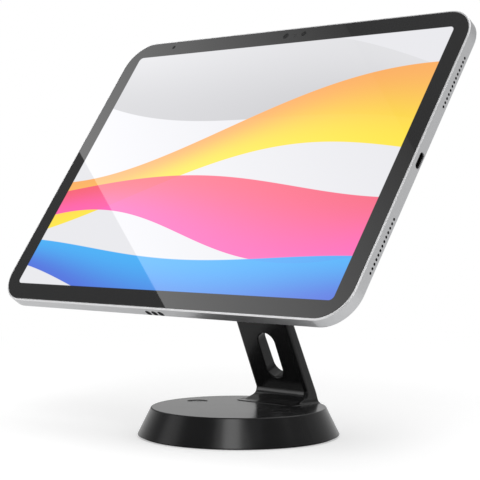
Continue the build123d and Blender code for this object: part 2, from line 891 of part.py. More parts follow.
def tablet_housing():
    """Machined tray with flat sides, holed for the port, speakers, buttons and contacts."""
    tray = slab(tablet_width, tablet_height, -tablet_depth, 0, tablet_corner_r)
    tray = fillet(edges_at(tray, -tablet_depth), tablet_back_edge_r)
    tray = chamfer(edges_at(tray, 0), tablet_front_edge)
    inside = (tablet_width - 2 * housing_wall, tablet_height - 2 * housing_wall)
    tray -= slab(*inside, -tablet_depth + housing_floor, cut_overrun, tablet_corner_r - housing_wall)
    glass = (tablet_width - 2 * glass_inset, tablet_height - 2 * glass_inset)
    tray -= slab(*glass, -glass_thickness, cut_overrun, tablet_corner_r - glass_inset)
    through = 2 * housing_wall
    right = edge_plane(1)
    port = right * Pos(port_up, -port_depth_place) * SlotOverall(port_width, port_height)
    tray -= extrude(port, amount=through, both=True)
    for side in (-1, 1):
        holes = []
        for centre in speaker_centres():
            for number in range(speaker_holes):
                up = centre + speaker_pitch * (number - (speaker_holes - 1) / 2)
                holes.append(edge_plane(side) * Pos(up, -port_depth_place) * Circle(speaker_hole_r))
        tray -= [extrude(hole, amount=through, both=True) for hole in holes]
    power = edge_plane(-1) * Pos(power_button_up, -button_depth_place) * button_slot(joint_gap)
    tray -= extrude(power, amount=through, both=True)
    for place in (volume_up_place, volume_down_place):
        slot = long_edge_plane(1) * Pos(place, -button_depth_place) * volume_slot(joint_gap)
        tray -= extrude(slot, amount=through, both=True)
    for sketch in contact_outlines():
        recess = contact_recess + contact_thickness
        tray -= extrude(long_edge_plane(-1) * sketch, amount=recess, both=True)
    tray -= disc(rear_camera_body_r, -tablet_depth - cut_overrun, 0, rear_camera_x, rear_camera_up)
    return tray


def contact_outlines():
    """Outlines of the contact pads in the lower edge."""
    outlines = []
    for number in range(contact_count):
        x = contact_pitch * (number - (contact_count - 1) / 2)
        shape = Rot(0, 0, 90) * SlotOverall(contact_length, contact_width)
        outlines.append(Pos(x, -contact_depth_place) * shape)
    return outlines


def contact_pads():
    """Three contact pads, set just below the lower edge."""
    pads = []
    floor = long_edge_plane(-1).offset(-contact_recess - contact_thickness)
    for sketch in contact_outlines():
        pads.append(extrude(floor * sketch, amount=contact_thickness))
    return Compound(children=pads)


def front_glass():
    """Cover glass inside the housing's rim."""
    size = (tablet_width - 2 * glass_inset, tablet_height - 2 * glass_inset)
    return slab(*size, -glass_thickness, 0, tablet_corner_r - glass_inset)


def display_panel():
    """Display bonded behind the glass."""
    low = -glass_thickness - display_depth
    return slab(display_width, display_height, low, -glass_thickness, display_corner_r)


def battery_cells():
    """Two flat cells side by side on the housing's floor."""
    cells = []
    low = -tablet_depth + housing_floor
    for number in range(battery_count):
        x = battery_right - battery_width / 2 - number * (battery_width + battery_gap)
        cells.append(slab(battery_width, battery_height, low, low + battery_depth, battery_corner_r, x))
    return Compound(children=cells)


def logic_board():
    """Circuit board beside the cells, with a shield over its chips."""
    low = -tablet_depth + housing_floor
    x = board_width / 2 - board_left
    board = raised(Pos(x, 0) * Rectangle(board_width, board_height), low, low + board_depth)
    shield = Pos(x, board_shield_place) * Rectangle(board_shield_width, board_shield_height)
    return board + raised(shield, low + board_depth, low + board_depth + board_shield_depth)


def port_shell():
    """Oval metal shell of the charging port."""
    outer = Pos(port_up, -port_depth_place) * SlotOverall(port_width, port_height)
    inner_size = (port_width - 2 * port_shell_wall, port_height - 2 * port_shell_wall)
    inner = Pos(port_up, -port_depth_place) * SlotOverall(*inner_size)
    mouth = tablet_width / 2 - port_shell_wall
    shell = crosswise(outer, mouth - port_reach, mouth)
    return shell - crosswise(inner, mouth - port_reach + port_shell_wall, mouth + cut_overrun)


def port_tongue():
    """Contact tongue in the middle of the port."""
    outline = Pos(port_up, -port_depth_place) * Rectangle(port_tongue_width, port_tongue_height)
    mouth = tablet_width / 2 - port_shell_wall
    return crosswise(outline, mouth - port_reach + port_shell_wall, mouth - port_tongue_inset)


def speaker_units():
    """Four speakers behind the rows of holes."""
    units = []
    low = -tablet_depth + housing_floor
    length = speaker_pitch * speaker_holes
    edge = tablet_width / 2 - housing_wall - speaker_box_width / 2
    for side in (-1, 1):
        for centre in speaker_centres():
            box = slab(speaker_box_width, length, low, low + speaker_box_depth, speaker_box_r, side * edge, centre)
            units.append(box)
    return Compound(children=units)


def power_button():
    """Power button in the left edge."""
    face = edge_plane(-1).offset(-button_proud)
    sketch = face * Pos(power_button_up, -button_depth_place) * button_slot()
    return extrude(sketch, amount=button_proud + button_inner)


def volume_button(place):
    """One volume button in the upper edge."""
    face = long_edge_plane(1).offset(-button_proud)
    sketch = face * Pos(place, -button_depth_place) * volume_slot()
    return extrude(sketch, amount=button_proud + button_inner)


def rear_camera():
    """Camera body behind the display, with its raised ring."""
    x, y = rear_camera_x, rear_camera_up
    back = -tablet_depth - rear_camera_proud
    ring_piece = disc(rear_camera_ring_r, back, -tablet_depth, x, y)
    ring_piece = fillet(edges_at(ring_piece, back), rear_camera_edge_r)
    body = disc(rear_camera_body_r, -tablet_depth, -tablet_depth + 2 * housing_floor, x, y)
    lens_seat = disc(rear_camera_lens_r, back - cut_overrun, back + rear_camera_edge_r, x, y)
    return ring_piece + body - lens_seat


def rear_camera_lens():
    """Lens window inside the ring."""
    back = -tablet_depth - rear_camera_proud
    low = back + rear_camera_edge_r / 2
    return disc(rear_camera_lens_r, low, back + rear_camera_edge_r, rear_camera_x, rear_camera_up)


def front_camera():
    """Camera behind the bezel above the display."""
    low = -glass_thickness - front_camera_depth
    return disc(front_camera_r, low, -glass_thickness, front_camera_x, front_camera_up)


def make_nodes():
    """Every piece of the stand by name."""
    nodes = {
        "base_shell": base_shell(),
        "base_ballast": ballast(),
        "base_foot_pad": foot_pad(),
        "ballast_screws": ballast_screws(),
        "fixing_caps": fixing_caps(),
        "arm": arm(),
        "arm_screws": arm_screws(),
    }
    tilting = {
        "head": head(),
        "tilt_bolt": tilt_bolt(),
        "tilt_washers": tilt_washers(),
        "tilt_disc_spring": disc_spring(),
        "tilt_nut": tilt_nut(),
        "tilt_caps": tilt_caps(),
        "swivel_bearing": swivel_bearing(),
        "swivel_hub": swivel_hub(),
        "swivel_spring": swivel_spring(),
        "swivel_ring_nut": ring_nut(),
        "lock_housing": lock_housing(),
        "lock_plug": lock_plug(),
        "lock_cam": lock_cam(),
        "lock_cam_screw": cam_screw(),
        "mounting_plate": mounting_plate(),
        "plate_dowels": plate_dowels(),
        "bond_pad": bond_pad(),
        "tablet_housing": tablet_housing(),
        "front_glass": front_glass(),
        "display_panel": display_panel(),
        "battery_cells": battery_cells(),
        "logic_board": logic_board(),
        "port_shell": port_shell(),
        "port_tongue": port_tongue(),
        "speaker_units": speaker_units(),
        "contact_pads": contact_pads(),
        "power_button": power_button(),
        "volume_up_button": volume_button(volume_up_place),
        "volume_down_button": volume_button(volume_down_place),
        "rear_camera": rear_camera(),
        "rear_camera_lens": rear_camera_lens(),
        "front_camera": front_camera(),
    }
    for name, solid in tilting.items():
        nodes[name] = on_screen(solid)
    return nodes


os.makedirs("parts", exist_ok=True)
for name, solid in make_nodes().items():
    export_step(solid, f"parts/{name}.step")
    print(name, "made")
print("pivot", round(pivot_y, 3), round(pivot_z, 3))
print("screen centre", round(screen_centre.Y, 3), round(screen_centre.Z, 3))
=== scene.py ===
import json
import math
import bpy
from mathutils import Euler, Matrix, Vector


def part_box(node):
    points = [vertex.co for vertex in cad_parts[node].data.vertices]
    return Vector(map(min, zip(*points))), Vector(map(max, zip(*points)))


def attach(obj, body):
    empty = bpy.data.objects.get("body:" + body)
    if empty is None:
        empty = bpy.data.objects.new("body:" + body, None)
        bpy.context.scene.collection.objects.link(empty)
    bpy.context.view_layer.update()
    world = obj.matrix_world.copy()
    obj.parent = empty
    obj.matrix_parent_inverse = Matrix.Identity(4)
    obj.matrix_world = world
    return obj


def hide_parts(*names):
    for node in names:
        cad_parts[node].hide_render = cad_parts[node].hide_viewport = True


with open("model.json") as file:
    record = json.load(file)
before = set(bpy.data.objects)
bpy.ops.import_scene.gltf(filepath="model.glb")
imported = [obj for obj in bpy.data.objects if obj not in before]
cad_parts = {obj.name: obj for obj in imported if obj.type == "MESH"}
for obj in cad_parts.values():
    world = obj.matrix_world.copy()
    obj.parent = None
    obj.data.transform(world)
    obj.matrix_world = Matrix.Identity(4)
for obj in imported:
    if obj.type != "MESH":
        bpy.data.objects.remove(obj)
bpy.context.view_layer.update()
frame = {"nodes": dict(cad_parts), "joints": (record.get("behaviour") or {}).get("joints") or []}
nodes = frame["nodes"]
mm = 0.001
print("frame loaded:", len(nodes), "pieces")


# Node sheets: sockets that do arithmetic, and one way to add any other node

class Sock:
    def __init__(self, sheet, socket):
        self.sheet = sheet
        self.socket = socket

    def maths(self, operation, *values):
        return self.sheet.node("ShaderNodeMath", {"operation": operation}, values)

    def __add__(self, other):
        return self.maths("ADD", self, other)

    def __radd__(self, other):
        return self.maths("ADD", other, self)

    def __sub__(self, other):
        return self.maths("SUBTRACT", self, other)

    def __rsub__(self, other):
        return self.maths("SUBTRACT", other, self)

    def __mul__(self, other):
        return self.maths("MULTIPLY", self, other)

    def __rmul__(self, other):
        return self.maths("MULTIPLY", other, self)

    def __truediv__(self, other):
        return self.maths("DIVIDE", self, other)

    def __abs__(self):
        return self.maths("ABSOLUTE", self)

    def sine(self):
        return self.maths("SINE", self)

    def root(self):
        return self.maths("SQRT", self)

    def least(self, other):
        return self.maths("MINIMUM", self, other)

    def most(self, other):
        return self.maths("MAXIMUM", self, other)


class NodeSheet:
    def __init__(self, tree):
        self.tree = tree

    def feed(self, socket, value):
        if isinstance(value, Sock):
            self.tree.links.new(value.socket, socket)
        elif socket.type == "RGBA":
            socket.default_value = (*value[:3], 1.0)
        else:
            socket.default_value = value

    def node(self, kind, settings=None, inputs=(), output=0):
        made = self.tree.nodes.new(kind)
        for key, value in (settings or {}).items():
            setattr(made, key, value)
        named = inputs.items() if isinstance(inputs, dict) else enumerate(inputs)
        for key, value in named:
            self.feed(made.inputs[key], value)
        return Sock(self, made.outputs[output])

    def dot(self, vector, direction):
        settings = {"operation": "DOT_PRODUCT"}
        return self.node("ShaderNodeVectorMath", settings, (vector, tuple(direction)), "Value")

    def fade(self, value, low, high):                       # 0 below low, 1 above high, smooth between
        settings = {"interpolation_type": "SMOOTHSTEP"}
        return self.node("ShaderNodeMapRange", settings, {"Value": value, "From Min": low, "From Max": high})

    def mix(self, factor, first, second):                   # colours
        return self.node("ShaderNodeMix", {"data_type": "RGBA"}, {0: factor, 6: first, 7: second}, 2)


class Finish(NodeSheet):
    def __init__(self, name, colour, rough, metal=0.0, **fixed):
        self.material = bpy.data.materials.new(name)
        self.material.use_nodes = True
        super().__init__(self.material.node_tree)
        self.surface = self.tree.nodes["Principled BSDF"]
        self.place = self.node("ShaderNodeTexCoord", output="Object")
        self.give("Base Color", colour)
        self.give("Roughness", rough)
        self.give("Metallic", metal)
        for key, value in fixed.items():
            self.give(key.replace("_", " "), value)

    def give(self, name, value):
        self.feed(self.surface.inputs[name], value)

    def noise(self, grain, detail=2.0, place=None):         # grain is the size of a speck, in metres
        inputs = {"Vector": place or self.place, "Scale": 1.0 / grain, "Detail": detail}
        return self.node("ShaderNodeTexNoise", None, inputs, "Fac")

    def cells(self, grain):
        inputs = {"Vector": self.place, "Scale": 1.0 / grain}
        return self.node("ShaderNodeTexVoronoi", None, inputs, "Distance")

    def bump(self, height):                                 # height in metres
        inputs = {"Strength": 1.0, "Distance": 1.0, "Height": height}
        self.give("Normal", self.node("ShaderNodeBump", None, inputs))

    def varied(self, colour, share, mask):                  # the colour, up or down by a share
        low = tuple(c * (1 - share) for c in colour)
        high = tuple(c * (1 + share) for c in colour)
        return self.mix(mask, low, high)


def roundedMask(sheet, beside, up, halfWide, halfHigh, corner, blur):
    overX = (abs(beside) - (halfWide - corner)).most(0.0)
    overY = (abs(up) - (halfHigh - corner)).most(0.0)
    beyond = (overX * overX + overY * overY).root()
    return 1 - sheet.fade(beyond, corner - blur, corner + blur)


def dress(material, *names):
    for name in names:
        slots = nodes[name].data.materials
        slots.clear()
        slots.append(material)


# The screen's own frame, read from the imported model

def jointNamed(name):
    return next(joint for joint in frame["joints"] if joint["name"] == name)


def span(name, direction):                                   # a node's lowest and highest reach
    reach = [vertex.co.dot(direction) for vertex in nodes[name].data.vertices]
    return min(reach), max(reach)


across = Vector((1, 0, 0))
screenOut = Vector(jointNamed("tablet_swivel")["axis"]).normalized()
screenUp = Vector((0, screenOut.z, -screenOut.y))
glassLow, glassHigh = span("front_glass", screenUp)
glassBack, glassFront = span("front_glass", screenOut)
screenCentre = screenUp * (glassLow + glassHigh) / 2 + screenOut * glassFront
screenTurn = Matrix((across, screenUp, screenOut)).transposed().to_4x4()
screenPlace = Matrix.Translation(screenCentre) @ screenTurn
displayLow, displayHigh = span("display_panel", screenUp)
displayLeft, displayRight = span("display_panel", across)
glassLeft, glassRight = span("front_glass", across)


# Camera, fitted to the photograph

photo = {"side": 480, "sensor": 36.0, "lens": 113.06, "nearest": 0.01}
viewer = {
    "place": Vector((0.55057, -0.56547, 0.11782)),
    "azimuth": 44.194,
    "elevation": -1.136,
    "roll": 0.11,
}


def addCamera():
    pitch = math.radians(90 + viewer["elevation"])
    turn = Euler((pitch, 0, math.radians(viewer["azimuth"]))).to_matrix()
    turn = turn @ Matrix.Rotation(math.radians(viewer["roll"]), 3, "Z")
    lens = bpy.data.cameras.new("photoCamera")
    lens.lens = photo["lens"]
    lens.sensor_width = photo["sensor"]
    lens.clip_start = photo["nearest"]
    camera = bpy.data.objects.new("photoCamera", lens)
    camera.matrix_world = Matrix.Translation(viewer["place"]) @ turn.to_4x4()
    bpy.context.scene.collection.objects.link(camera)
    bpy.context.scene.camera = camera
    return turn


cameraTurn = addCamera()
print("camera placed")


# Studio: a pale world, a floor that keeps the shadow, lamps and a reflection card

studio = {
    "ambient": 0.52,
    "frontLevel": 0.14,
    "backdropToward": Vector((-0.30, 0.95, 0.0)).normalized(),
    "backdropLevel": 0.58,
    "backdropFades": (-0.25, 0.60),
    "highShare": 0.6,                                        # how much of the backdrop is gone higher up
    "highFades": (0.05, 0.50),
    "leftToward": Vector((-0.697, -0.63, 0.34)).normalized(),
    "leftLevel": 0.9,
    "leftFades": (0.94, 0.995),
    "lowToward": Vector((-0.697, -0.715, 0.10)).normalized(),
    "lowLevel": 2.1,
    "lowFades": (0.93, 0.985),
    "floorSize": 8.0,
    "floorDrop": 0.1 * mm,                                   # just clear of the pad's face
    "floorShade": 0.70,
    "floorRough": 0.9,
    "floorLift": 0.42,
    "glossShare": 0.35,                                      # of that lift, in reflections
    "farFrom": 0.20,
    "farTo": 0.62,
}


def makeWorld():
    world = bpy.data.worlds.new("studioWorld")
    bpy.context.scene.world = world
    world.use_nodes = True
    sheet = NodeSheet(world.node_tree)
    toward = sheet.node("ShaderNodeTexCoord", output="Generated")
    backdrop = sheet.fade(sheet.dot(toward, studio["backdropToward"]), *studio["backdropFades"])
    high = sheet.fade(sheet.dot(toward, (0, 0, 1)), *studio["highFades"])
    left = sheet.fade(sheet.dot(toward, studio["leftToward"]), *studio["leftFades"])
    low = sheet.fade(sheet.dot(toward, studio["lowToward"]), *studio["lowFades"])
    glossLevel = studio["frontLevel"] + backdrop * (1 - high * studio["highShare"]) * studio["backdropLevel"]
    glossLevel = glossLevel + left * studio["leftLevel"] + low * studio["lowLevel"]
    cameraRay = sheet.node("ShaderNodeLightPath", output="Is Camera Ray")
    glossyRay = sheet.node("ShaderNodeLightPath", output="Is Glossy Ray")
    unseen = glossyRay * glossLevel + (1 - glossyRay) * studio["ambient"]
    level = cameraRay + (1 - cameraRay) * unseen
    background = world.node_tree.nodes["Background"]
    sheet.feed(background.inputs["Color"], (1.0, 1.0, 1.0))
    sheet.feed(background.inputs["Strength"], level)


def makeFloor():
    bpy.ops.object.select_all(action="DESELECT")
    bpy.ops.mesh.primitive_plane_add(size=studio["floorSize"], location=(0, 0, -studio["floorDrop"]))
    floor = bpy.context.object
    floor.name = "studioFloor"
    bpy.ops.object.transform_apply(location=True, rotation=True, scale=True)
    shade = (studio["floorShade"],) * 3
    rough = studio["floorRough"]
    paper = Finish("studioPaper", shade, rough, Specular_IOR_Level=0.0, Emission_Strength=1.0)
    away = paper.node("ShaderNodeVectorMath", {"operation": "LENGTH"}, (paper.place,), "Value")
    far = paper.fade(away, studio["farFrom"], studio["farTo"])
    cameraRay = paper.node("ShaderNodeLightPath", output="Is Camera Ray")
    glossyRay = paper.node("ShaderNodeLightPath", output="Is Glossy Ray")
    seen = cameraRay.most(glossyRay * studio["glossShare"])
    paper.give("Base Color", paper.mix(far * seen, shade, (0.0, 0.0, 0.0)))
    lift = studio["floorLift"] + (1.0 - studio["floorLift"]) * far
    paper.give("Emission Color", seen * lift)
    floor.data.materials.append(paper.material)


lamps = {
    "topPanel": {"azimuth": 150.0, "elevation": 74.0, "away": 1.7, "wide": 2.2, "high": 2.2, "level": 0.80},
    "frontPanel": {"azimuth": 35.0, "elevation": 43.0, "away": 1.5, "wide": 0.44, "high": 0.60, "level": 4.0},
    "frontGlow": {"azimuth": 37.0, "elevation": 43.0, "away": 1.6, "wide": 1.05, "high": 0.66, "level": 1.1},
}


def addLamp(name, lamp):
    azimuth = math.radians(lamp["azimuth"])                  # from -Y towards +X, as the camera's
    elevation = math.radians(lamp["elevation"])
    level = Vector((math.sin(azimuth), -math.cos(azimuth), 0)) * math.cos(elevation)
    toward = level + Vector((0, 0, math.sin(elevation)))
    panel = bpy.data.lights.new(name, "AREA")
    panel.shape = "RECTANGLE"
    panel.size = lamp["wide"]
    panel.size_y = lamp["high"]
    panel.energy = lamp["level"] * math.pi * lamp["wide"] * lamp["high"]
    light = bpy.data.objects.new(name, panel)
    facing = toward.to_track_quat("Z", "Y").to_matrix().to_4x4()
    light.matrix_world = Matrix.Translation(toward * lamp["away"]) @ facing
    bpy.context.scene.collection.objects.link(light)


# The card is set by where its reflection starts in the glass: a slanted line between two points
glareCard = {
    "upperPixel": Vector((80, 153)),
    "lowerPixel": Vector((171, 318)),
    "overrunPixels": 260,
    "widePixels": 294,
    "away": 1.75,
    "level": 2.0,
    "falloff": 0.85,
}


def mirrored(vector):
    return vector - 2 * vector.dot(screenOut) * screenOut


def mirroredPoint(pixel):
    perPixel = photo["sensor"] / photo["side"] / photo["lens"]
    half = photo["side"] / 2
    ray = Vector(((pixel.x - half) * perPixel, (half - pixel.y) * perPixel, -1.0))
    eye = screenCentre + mirrored(viewer["place"] - screenCentre)
    return eye + mirrored(cameraTurn @ ray) * glareCard["away"]


def addGlareCard():
    line = (glareCard["lowerPixel"] - glareCard["upperPixel"]).normalized()
    beside = Vector((line.y, -line.x)) * glareCard["widePixels"]
    upper = glareCard["upperPixel"] - line * glareCard["overrunPixels"]
    lower = glareCard["lowerPixel"] + line * glareCard["overrunPixels"]
    corners = [mirroredPoint(pixel) for pixel in (upper, lower, lower + beside, upper + beside)]
    bpy.ops.object.select_all(action="DESELECT")
    bpy.ops.mesh.primitive_plane_add(size=1.0)
    card = bpy.context.object
    card.name = "glareCard"
    order = (0, 1, 3, 2)                                     # the plane's own corners go row by row
    for vertex, corner in zip(card.data.vertices, (corners[i] for i in order)):
        vertex.co = corner
    paper = Finish("glareLight", (0.0, 0.0, 0.0), 1.0, Specular_IOR_Level=0.0, Emission_Strength=1.0)
    sideways = corners[3] - corners[0]
    share = (paper.dot(paper.place, sideways) - corners[0].dot(sideways)) / sideways.length_squared
    paper.give("Emission Color", (1 - share * glareCard["falloff"]) * glareCard["level"])
    card.data.materials.append(paper.material)
    card.visible_camera = False
    card.visible_diffuse = False
    card.visible_transmission = False
    card.visible_shadow = False


makeWorld()
makeFloor()
for lampName, lampSet in lamps.items():
    addLamp(lampName, lampSet)
addGlareCard()
print("studio lit")


# Finishes of the stand

blackPaint = {
    "colour": (0.0110, 0.0110, 0.0115),
    "rough": 0.20,
    "roughSpread": 0.03,
    "specular": 0.3,
    "peelGrain": 0.7 * mm,
    "peelDepth": 0.004 * mm,
    "dustGrain": 0.16 * mm,
    "dustDepth": 0.0012 * mm,
    "cloudGrain": 26 * mm,
    "cloudShare": 0.15,
}


def makeBlackPaint():
    colour = blackPaint["colour"]
    paint = Finish("satinBlackPaint", colour, blackPaint["rough"], Specular_IOR_Level=blackPaint["specular"])
    cloud = paint.noise(blackPaint["cloudGrain"], detail=3.0)
    peel = paint.noise(blackPaint["peelGrain"])
    speck = paint.noise(blackPaint["dustGrain"], detail=1.0)
    paint.give("Base Color", paint.varied(colour, blackPaint["cloudShare"], cloud))
    paint.give("Roughness", blackPaint["rough"] + (cloud - 0.5) * blackPaint["roughSpread"])
    paint.bump(peel * blackPaint["peelDepth"] + speck * blackPaint["dustDepth"])
    return paint.material


footRubber = {
    "colour": (0.016, 0.016, 0.017),
    "rough": 0.82,
    "specular": 0.35,
    "pebbleGrain": 0.35 * mm,
    "pebbleDepth": 0.05 * mm,
    "patchGrain": 9 * mm,
    "patchShare": 0.2,
}


def makeRubber():
    colour = footRubber["colour"]
    rubber = Finish("footRubber", colour, footRubber["rough"], Specular_IOR_Level=footRubber["specular"])
    patch = rubber.noise(footRubber["patchGrain"])
    rubber.give("Base Color", rubber.varied(colour, footRubber["patchShare"], patch))
    rubber.bump(rubber.cells(footRubber["pebbleGrain"]) * footRubber["pebbleDepth"])
    return rubber.material


plastics = {
    "capPlastic": {
        "colour": (0.014, 0.014, 0.015), "rough": 0.24,
        "grain": 0.22 * mm, "depth": 0.012 * mm,
    },
    "bearingAcetal": {
        "colour": (0.62, 0.61, 0.57), "rough": 0.38,
        "grain": 0.5 * mm, "depth": 0.004 * mm,
    },
    "portTongue": {
        "colour": (0.012, 0.012, 0.013), "rough": 0.42,
        "grain": 0.2 * mm, "depth": 0.006 * mm,
    },
    "speakerBox": {
        "colour": (0.010, 0.010, 0.011), "rough": 0.6,
        "grain": 0.3 * mm, "depth": 0.010 * mm,
    },
    "contactBlack": {
        "colour": (0.004, 0.004, 0.005), "rough": 0.6,
        "grain": 0.4 * mm, "depth": 0.002 * mm, "specular": 0.08,
    },
    "displayBack": {
        "colour": (0.035, 0.035, 0.038), "rough": 0.3,
        "grain": 0.8 * mm, "depth": 0.003 * mm,
    },
    "batteryFilm": {
        "colour": (0.030, 0.030, 0.032), "rough": 0.34,
        "grain": 3.0 * mm, "depth": 0.05 * mm,
    },
    "boardMask": {
        "colour": (0.012, 0.060, 0.030), "rough": 0.4,
        "grain": 1.2 * mm, "depth": 0.02 * mm,
    },
    "cameraModule": {
        "colour": (0.008, 0.008, 0.009), "rough": 0.3,
        "grain": 0.3 * mm, "depth": 0.004 * mm,
    },
    "bondFoam": {
        "colour": (0.020, 0.020, 0.021), "rough": 0.95,
        "grain": 0.4 * mm, "depth": 0.08 * mm,
    },
    "hubBlack": {
        "colour": (0.028, 0.028, 0.030), "rough": 0.34,
        "grain": 0.14 * mm, "depth": 0.003 * mm,
    },
}

# Broad, faint patches in every plastic, as moulding leaves them
plasticPatch = {"grain": 14 * mm, "share": 0.12, "roughSpread": 0.10, "specular": 0.45}


def makePlastic(name, look):
    specular = look.get("specular", plasticPatch["specular"])
    plastic = Finish(name, look["colour"], look["rough"], Specular_IOR_Level=specular)
    patch = plastic.noise(plasticPatch["grain"], detail=3.0)
    plastic.give("Base Color", plastic.varied(look["colour"], plasticPatch["share"], patch))
    plastic.give("Roughness", look["rough"] + (patch - 0.5) * plasticPatch["roughSpread"])
    plastic.bump(plastic.noise(look["grain"]) * look["depth"])
    return plastic.material


metals = {
    "silverAnodising": {
        "colour": (0.65, 0.655, 0.665), "rough": 0.29,
        "grain": 0.10 * mm, "depth": 0.0005 * mm, "stretch": 1.0, "polished": True,
    },
    "buttonAnodising": {
        "colour": (0.59, 0.595, 0.605), "rough": 0.27,
        "grain": 0.10 * mm, "depth": 0.0005 * mm, "stretch": 1.0,
    },
    "cameraRing": {
        "colour": (0.55, 0.555, 0.565), "rough": 0.20,
        "grain": 0.20 * mm, "depth": 0.0010 * mm, "stretch": 6.0,
    },
    "turnedSteel": {
        "colour": (0.42, 0.42, 0.43), "rough": 0.40,
        "grain": 0.35 * mm, "depth": 0.004 * mm, "stretch": 8.0,
    },
    "zincPlate": {
        "colour": (0.52, 0.52, 0.54), "rough": 0.32,
        "grain": 0.30 * mm, "depth": 0.003 * mm, "stretch": 3.0,
    },
    "portSteel": {
        "colour": (0.40, 0.40, 0.41), "rough": 0.34,
        "grain": 0.25 * mm, "depth": 0.002 * mm, "stretch": 5.0,
    },
    "satinChrome": {
        "colour": (0.62, 0.62, 0.63), "rough": 0.20,
        "grain": 0.30 * mm, "depth": 0.0012 * mm, "stretch": 2.0,
    },
    "plugChrome": {
        "colour": (0.52, 0.51, 0.49), "rough": 0.24,
        "grain": 0.24 * mm, "depth": 0.002 * mm, "stretch": 4.0,
    },
}

# The same in every metal
metalPatch = {"grain": 30 * mm, "share": 0.025, "roughSpread": 0.06, "specular": 0.08}

# The cut edge beside the glass: a bare cut, its colour lightened well past the metal's as a painted highlight
# line
cutEdgeHighlight = {"depth": 0.46 * mm, "blur": 0.05 * mm, "colour": (0.88, 0.88, 0.89), "rough": 0.42}

# A black, non-metal ring painted round each contact in the tablet's lower edge, darkening the housing there
contactRing = {
    "pitch": 4.5 * mm,
    "wide": 0.45 * mm,
    "corner": 1.75 * mm,
    "blur": 0.06 * mm,
    "fade": 1 * mm,
    "colour": (0.004, 0.004, 0.005),
}


def contactMask(metal, up, out):
    left, right = span("contact_pads", across)
    back, front = span("contact_pads", screenOut)
    low, high = span("contact_pads", screenUp)
    halfWide = (right - left) / 2 - contactRing["pitch"] + contactRing["wide"]
    halfDeep = (front - back) / 2 + contactRing["wide"]
    corner = contactRing["corner"]
    blur = contactRing["blur"]
    beside = metal.dot(metal.place, across) - (left + right) / 2
    off = out - (front + back) / 2
    mask = 0.0
    for place in (-1, 0, 1):
        away = beside - place * contactRing["pitch"]
        mask = roundedMask(metal, away, off, halfWide, halfDeep, corner, blur) + mask
    return mask.least(1.0) * (1 - metal.fade(up, high, high + contactRing["fade"]))


def makeMetal(name, look):
    metal = Finish(name, look["colour"], look["rough"], 1.0, Specular_IOR_Level=metalPatch["specular"])
    stretch = (1.0 / look["stretch"], 1.0, 1.0)
    stretched = metal.node("ShaderNodeMapping", None, {"Vector": metal.place, "Scale": stretch})
    grain = metal.noise(look["grain"], place=stretched)
    patch = metal.noise(metalPatch["grain"], detail=3.0)
    colour = metal.varied(look["colour"], metalPatch["share"], patch)
    rough = look["rough"] + (patch - 0.5) * metalPatch["roughSpread"]
    # On the housing only: a lighter cut edge beside the glass, partly a painted highlight line, and a black
    # ring painted round each contact
    if look.get("polished"):
        out = metal.dot(metal.place, screenOut)
        edgeStart = screenCentre.dot(screenOut) - cutEdgeHighlight["depth"]
        edge = metal.fade(out, edgeStart - cutEdgeHighlight["blur"], edgeStart + cutEdgeHighlight["blur"])
        colour = metal.mix(edge, colour, cutEdgeHighlight["colour"])
        rough = rough + edge * (cutEdgeHighlight["rough"] - look["rough"])
        ring = contactMask(metal, metal.dot(metal.place, screenUp), out)
        colour = metal.mix(ring, colour, contactRing["colour"])
        metal.give("Metallic", 1 - ring)
    metal.give("Base Color", colour)
    metal.give("Roughness", rough)
    metal.bump(grain * look["depth"])
    return metal.material


lensDark = {
    "colour": (0.006, 0.006, 0.010),
    "rough": 0.05,
    "coat": 0.6,
    "coatRough": 0.02,
    "iris": (0.030, 0.018, 0.045),
    "irisInner": (1.5 * mm, 1.9 * mm),
    "irisOuter": (2.6 * mm, 2.9 * mm),
}


def makeLens():
    coat = {"Coat_Weight": lensDark["coat"], "Coat_Roughness": lensDark["coatRough"]}
    lens = Finish("darkLens", lensDark["colour"], lensDark["rough"], **coat)
    low, high = (Vector(corner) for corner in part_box("rear_camera_lens"))
    ends = (lens.place, tuple((low + high) / 2))
    offset = lens.node("ShaderNodeVectorMath", {"operation": "DISTANCE"}, ends, "Value")
    iris = lens.fade(offset, *lensDark["irisInner"]) * (1 - lens.fade(offset, *lensDark["irisOuter"]))
    lens.give("Base Color", lens.mix(iris, lensDark["colour"], lensDark["iris"]))
    return lens.material


dress(makeBlackPaint(), "base_shell", "arm", "head", "mounting_plate")
dress(makeRubber(), "base_foot_pad")
dress(makeLens(), "rear_camera_lens")

wornBy = {
    "capPlastic": ("fixing_caps", "tilt_caps"),
    "bearingAcetal": ("swivel_bearing", "tilt_washers"),
    "portTongue": ("port_tongue",),
    "speakerBox": ("speaker_units",),
    "contactBlack": ("contact_pads",),
    "displayBack": ("display_panel",),
    "batteryFilm": ("battery_cells",),
    "boardMask": ("logic_board",),
    "cameraModule": ("front_camera",),
    "bondFoam": ("bond_pad",),
    "hubBlack": ("swivel_hub", "swivel_ring_nut"),
    "silverAnodising": ("tablet_housing",),
    "buttonAnodising": ("power_button", "volume_up_button", "volume_down_button"),
    "cameraRing": ("rear_camera",),
    "turnedSteel": ("base_ballast",),
    "zincPlate": (
        "ballast_screws", "arm_screws", "tilt_bolt", "tilt_nut", "tilt_disc_spring",
        "swivel_spring", "lock_cam", "lock_cam_screw", "plate_dowels",
    ),
    "portSteel": ("port_shell",),
    "satinChrome": ("lock_housing",),
    "plugChrome": ("lock_plug",),
}
for finishName, names in wornBy.items():
    if finishName in plastics:
        finish = makePlastic(finishName, plastics[finishName])
    else:
        finish = makeMetal(finishName, metals[finishName])
    dress(finish, *names)
print("stand and tablet finished")


# Cover glass, with its printed border and the lit picture

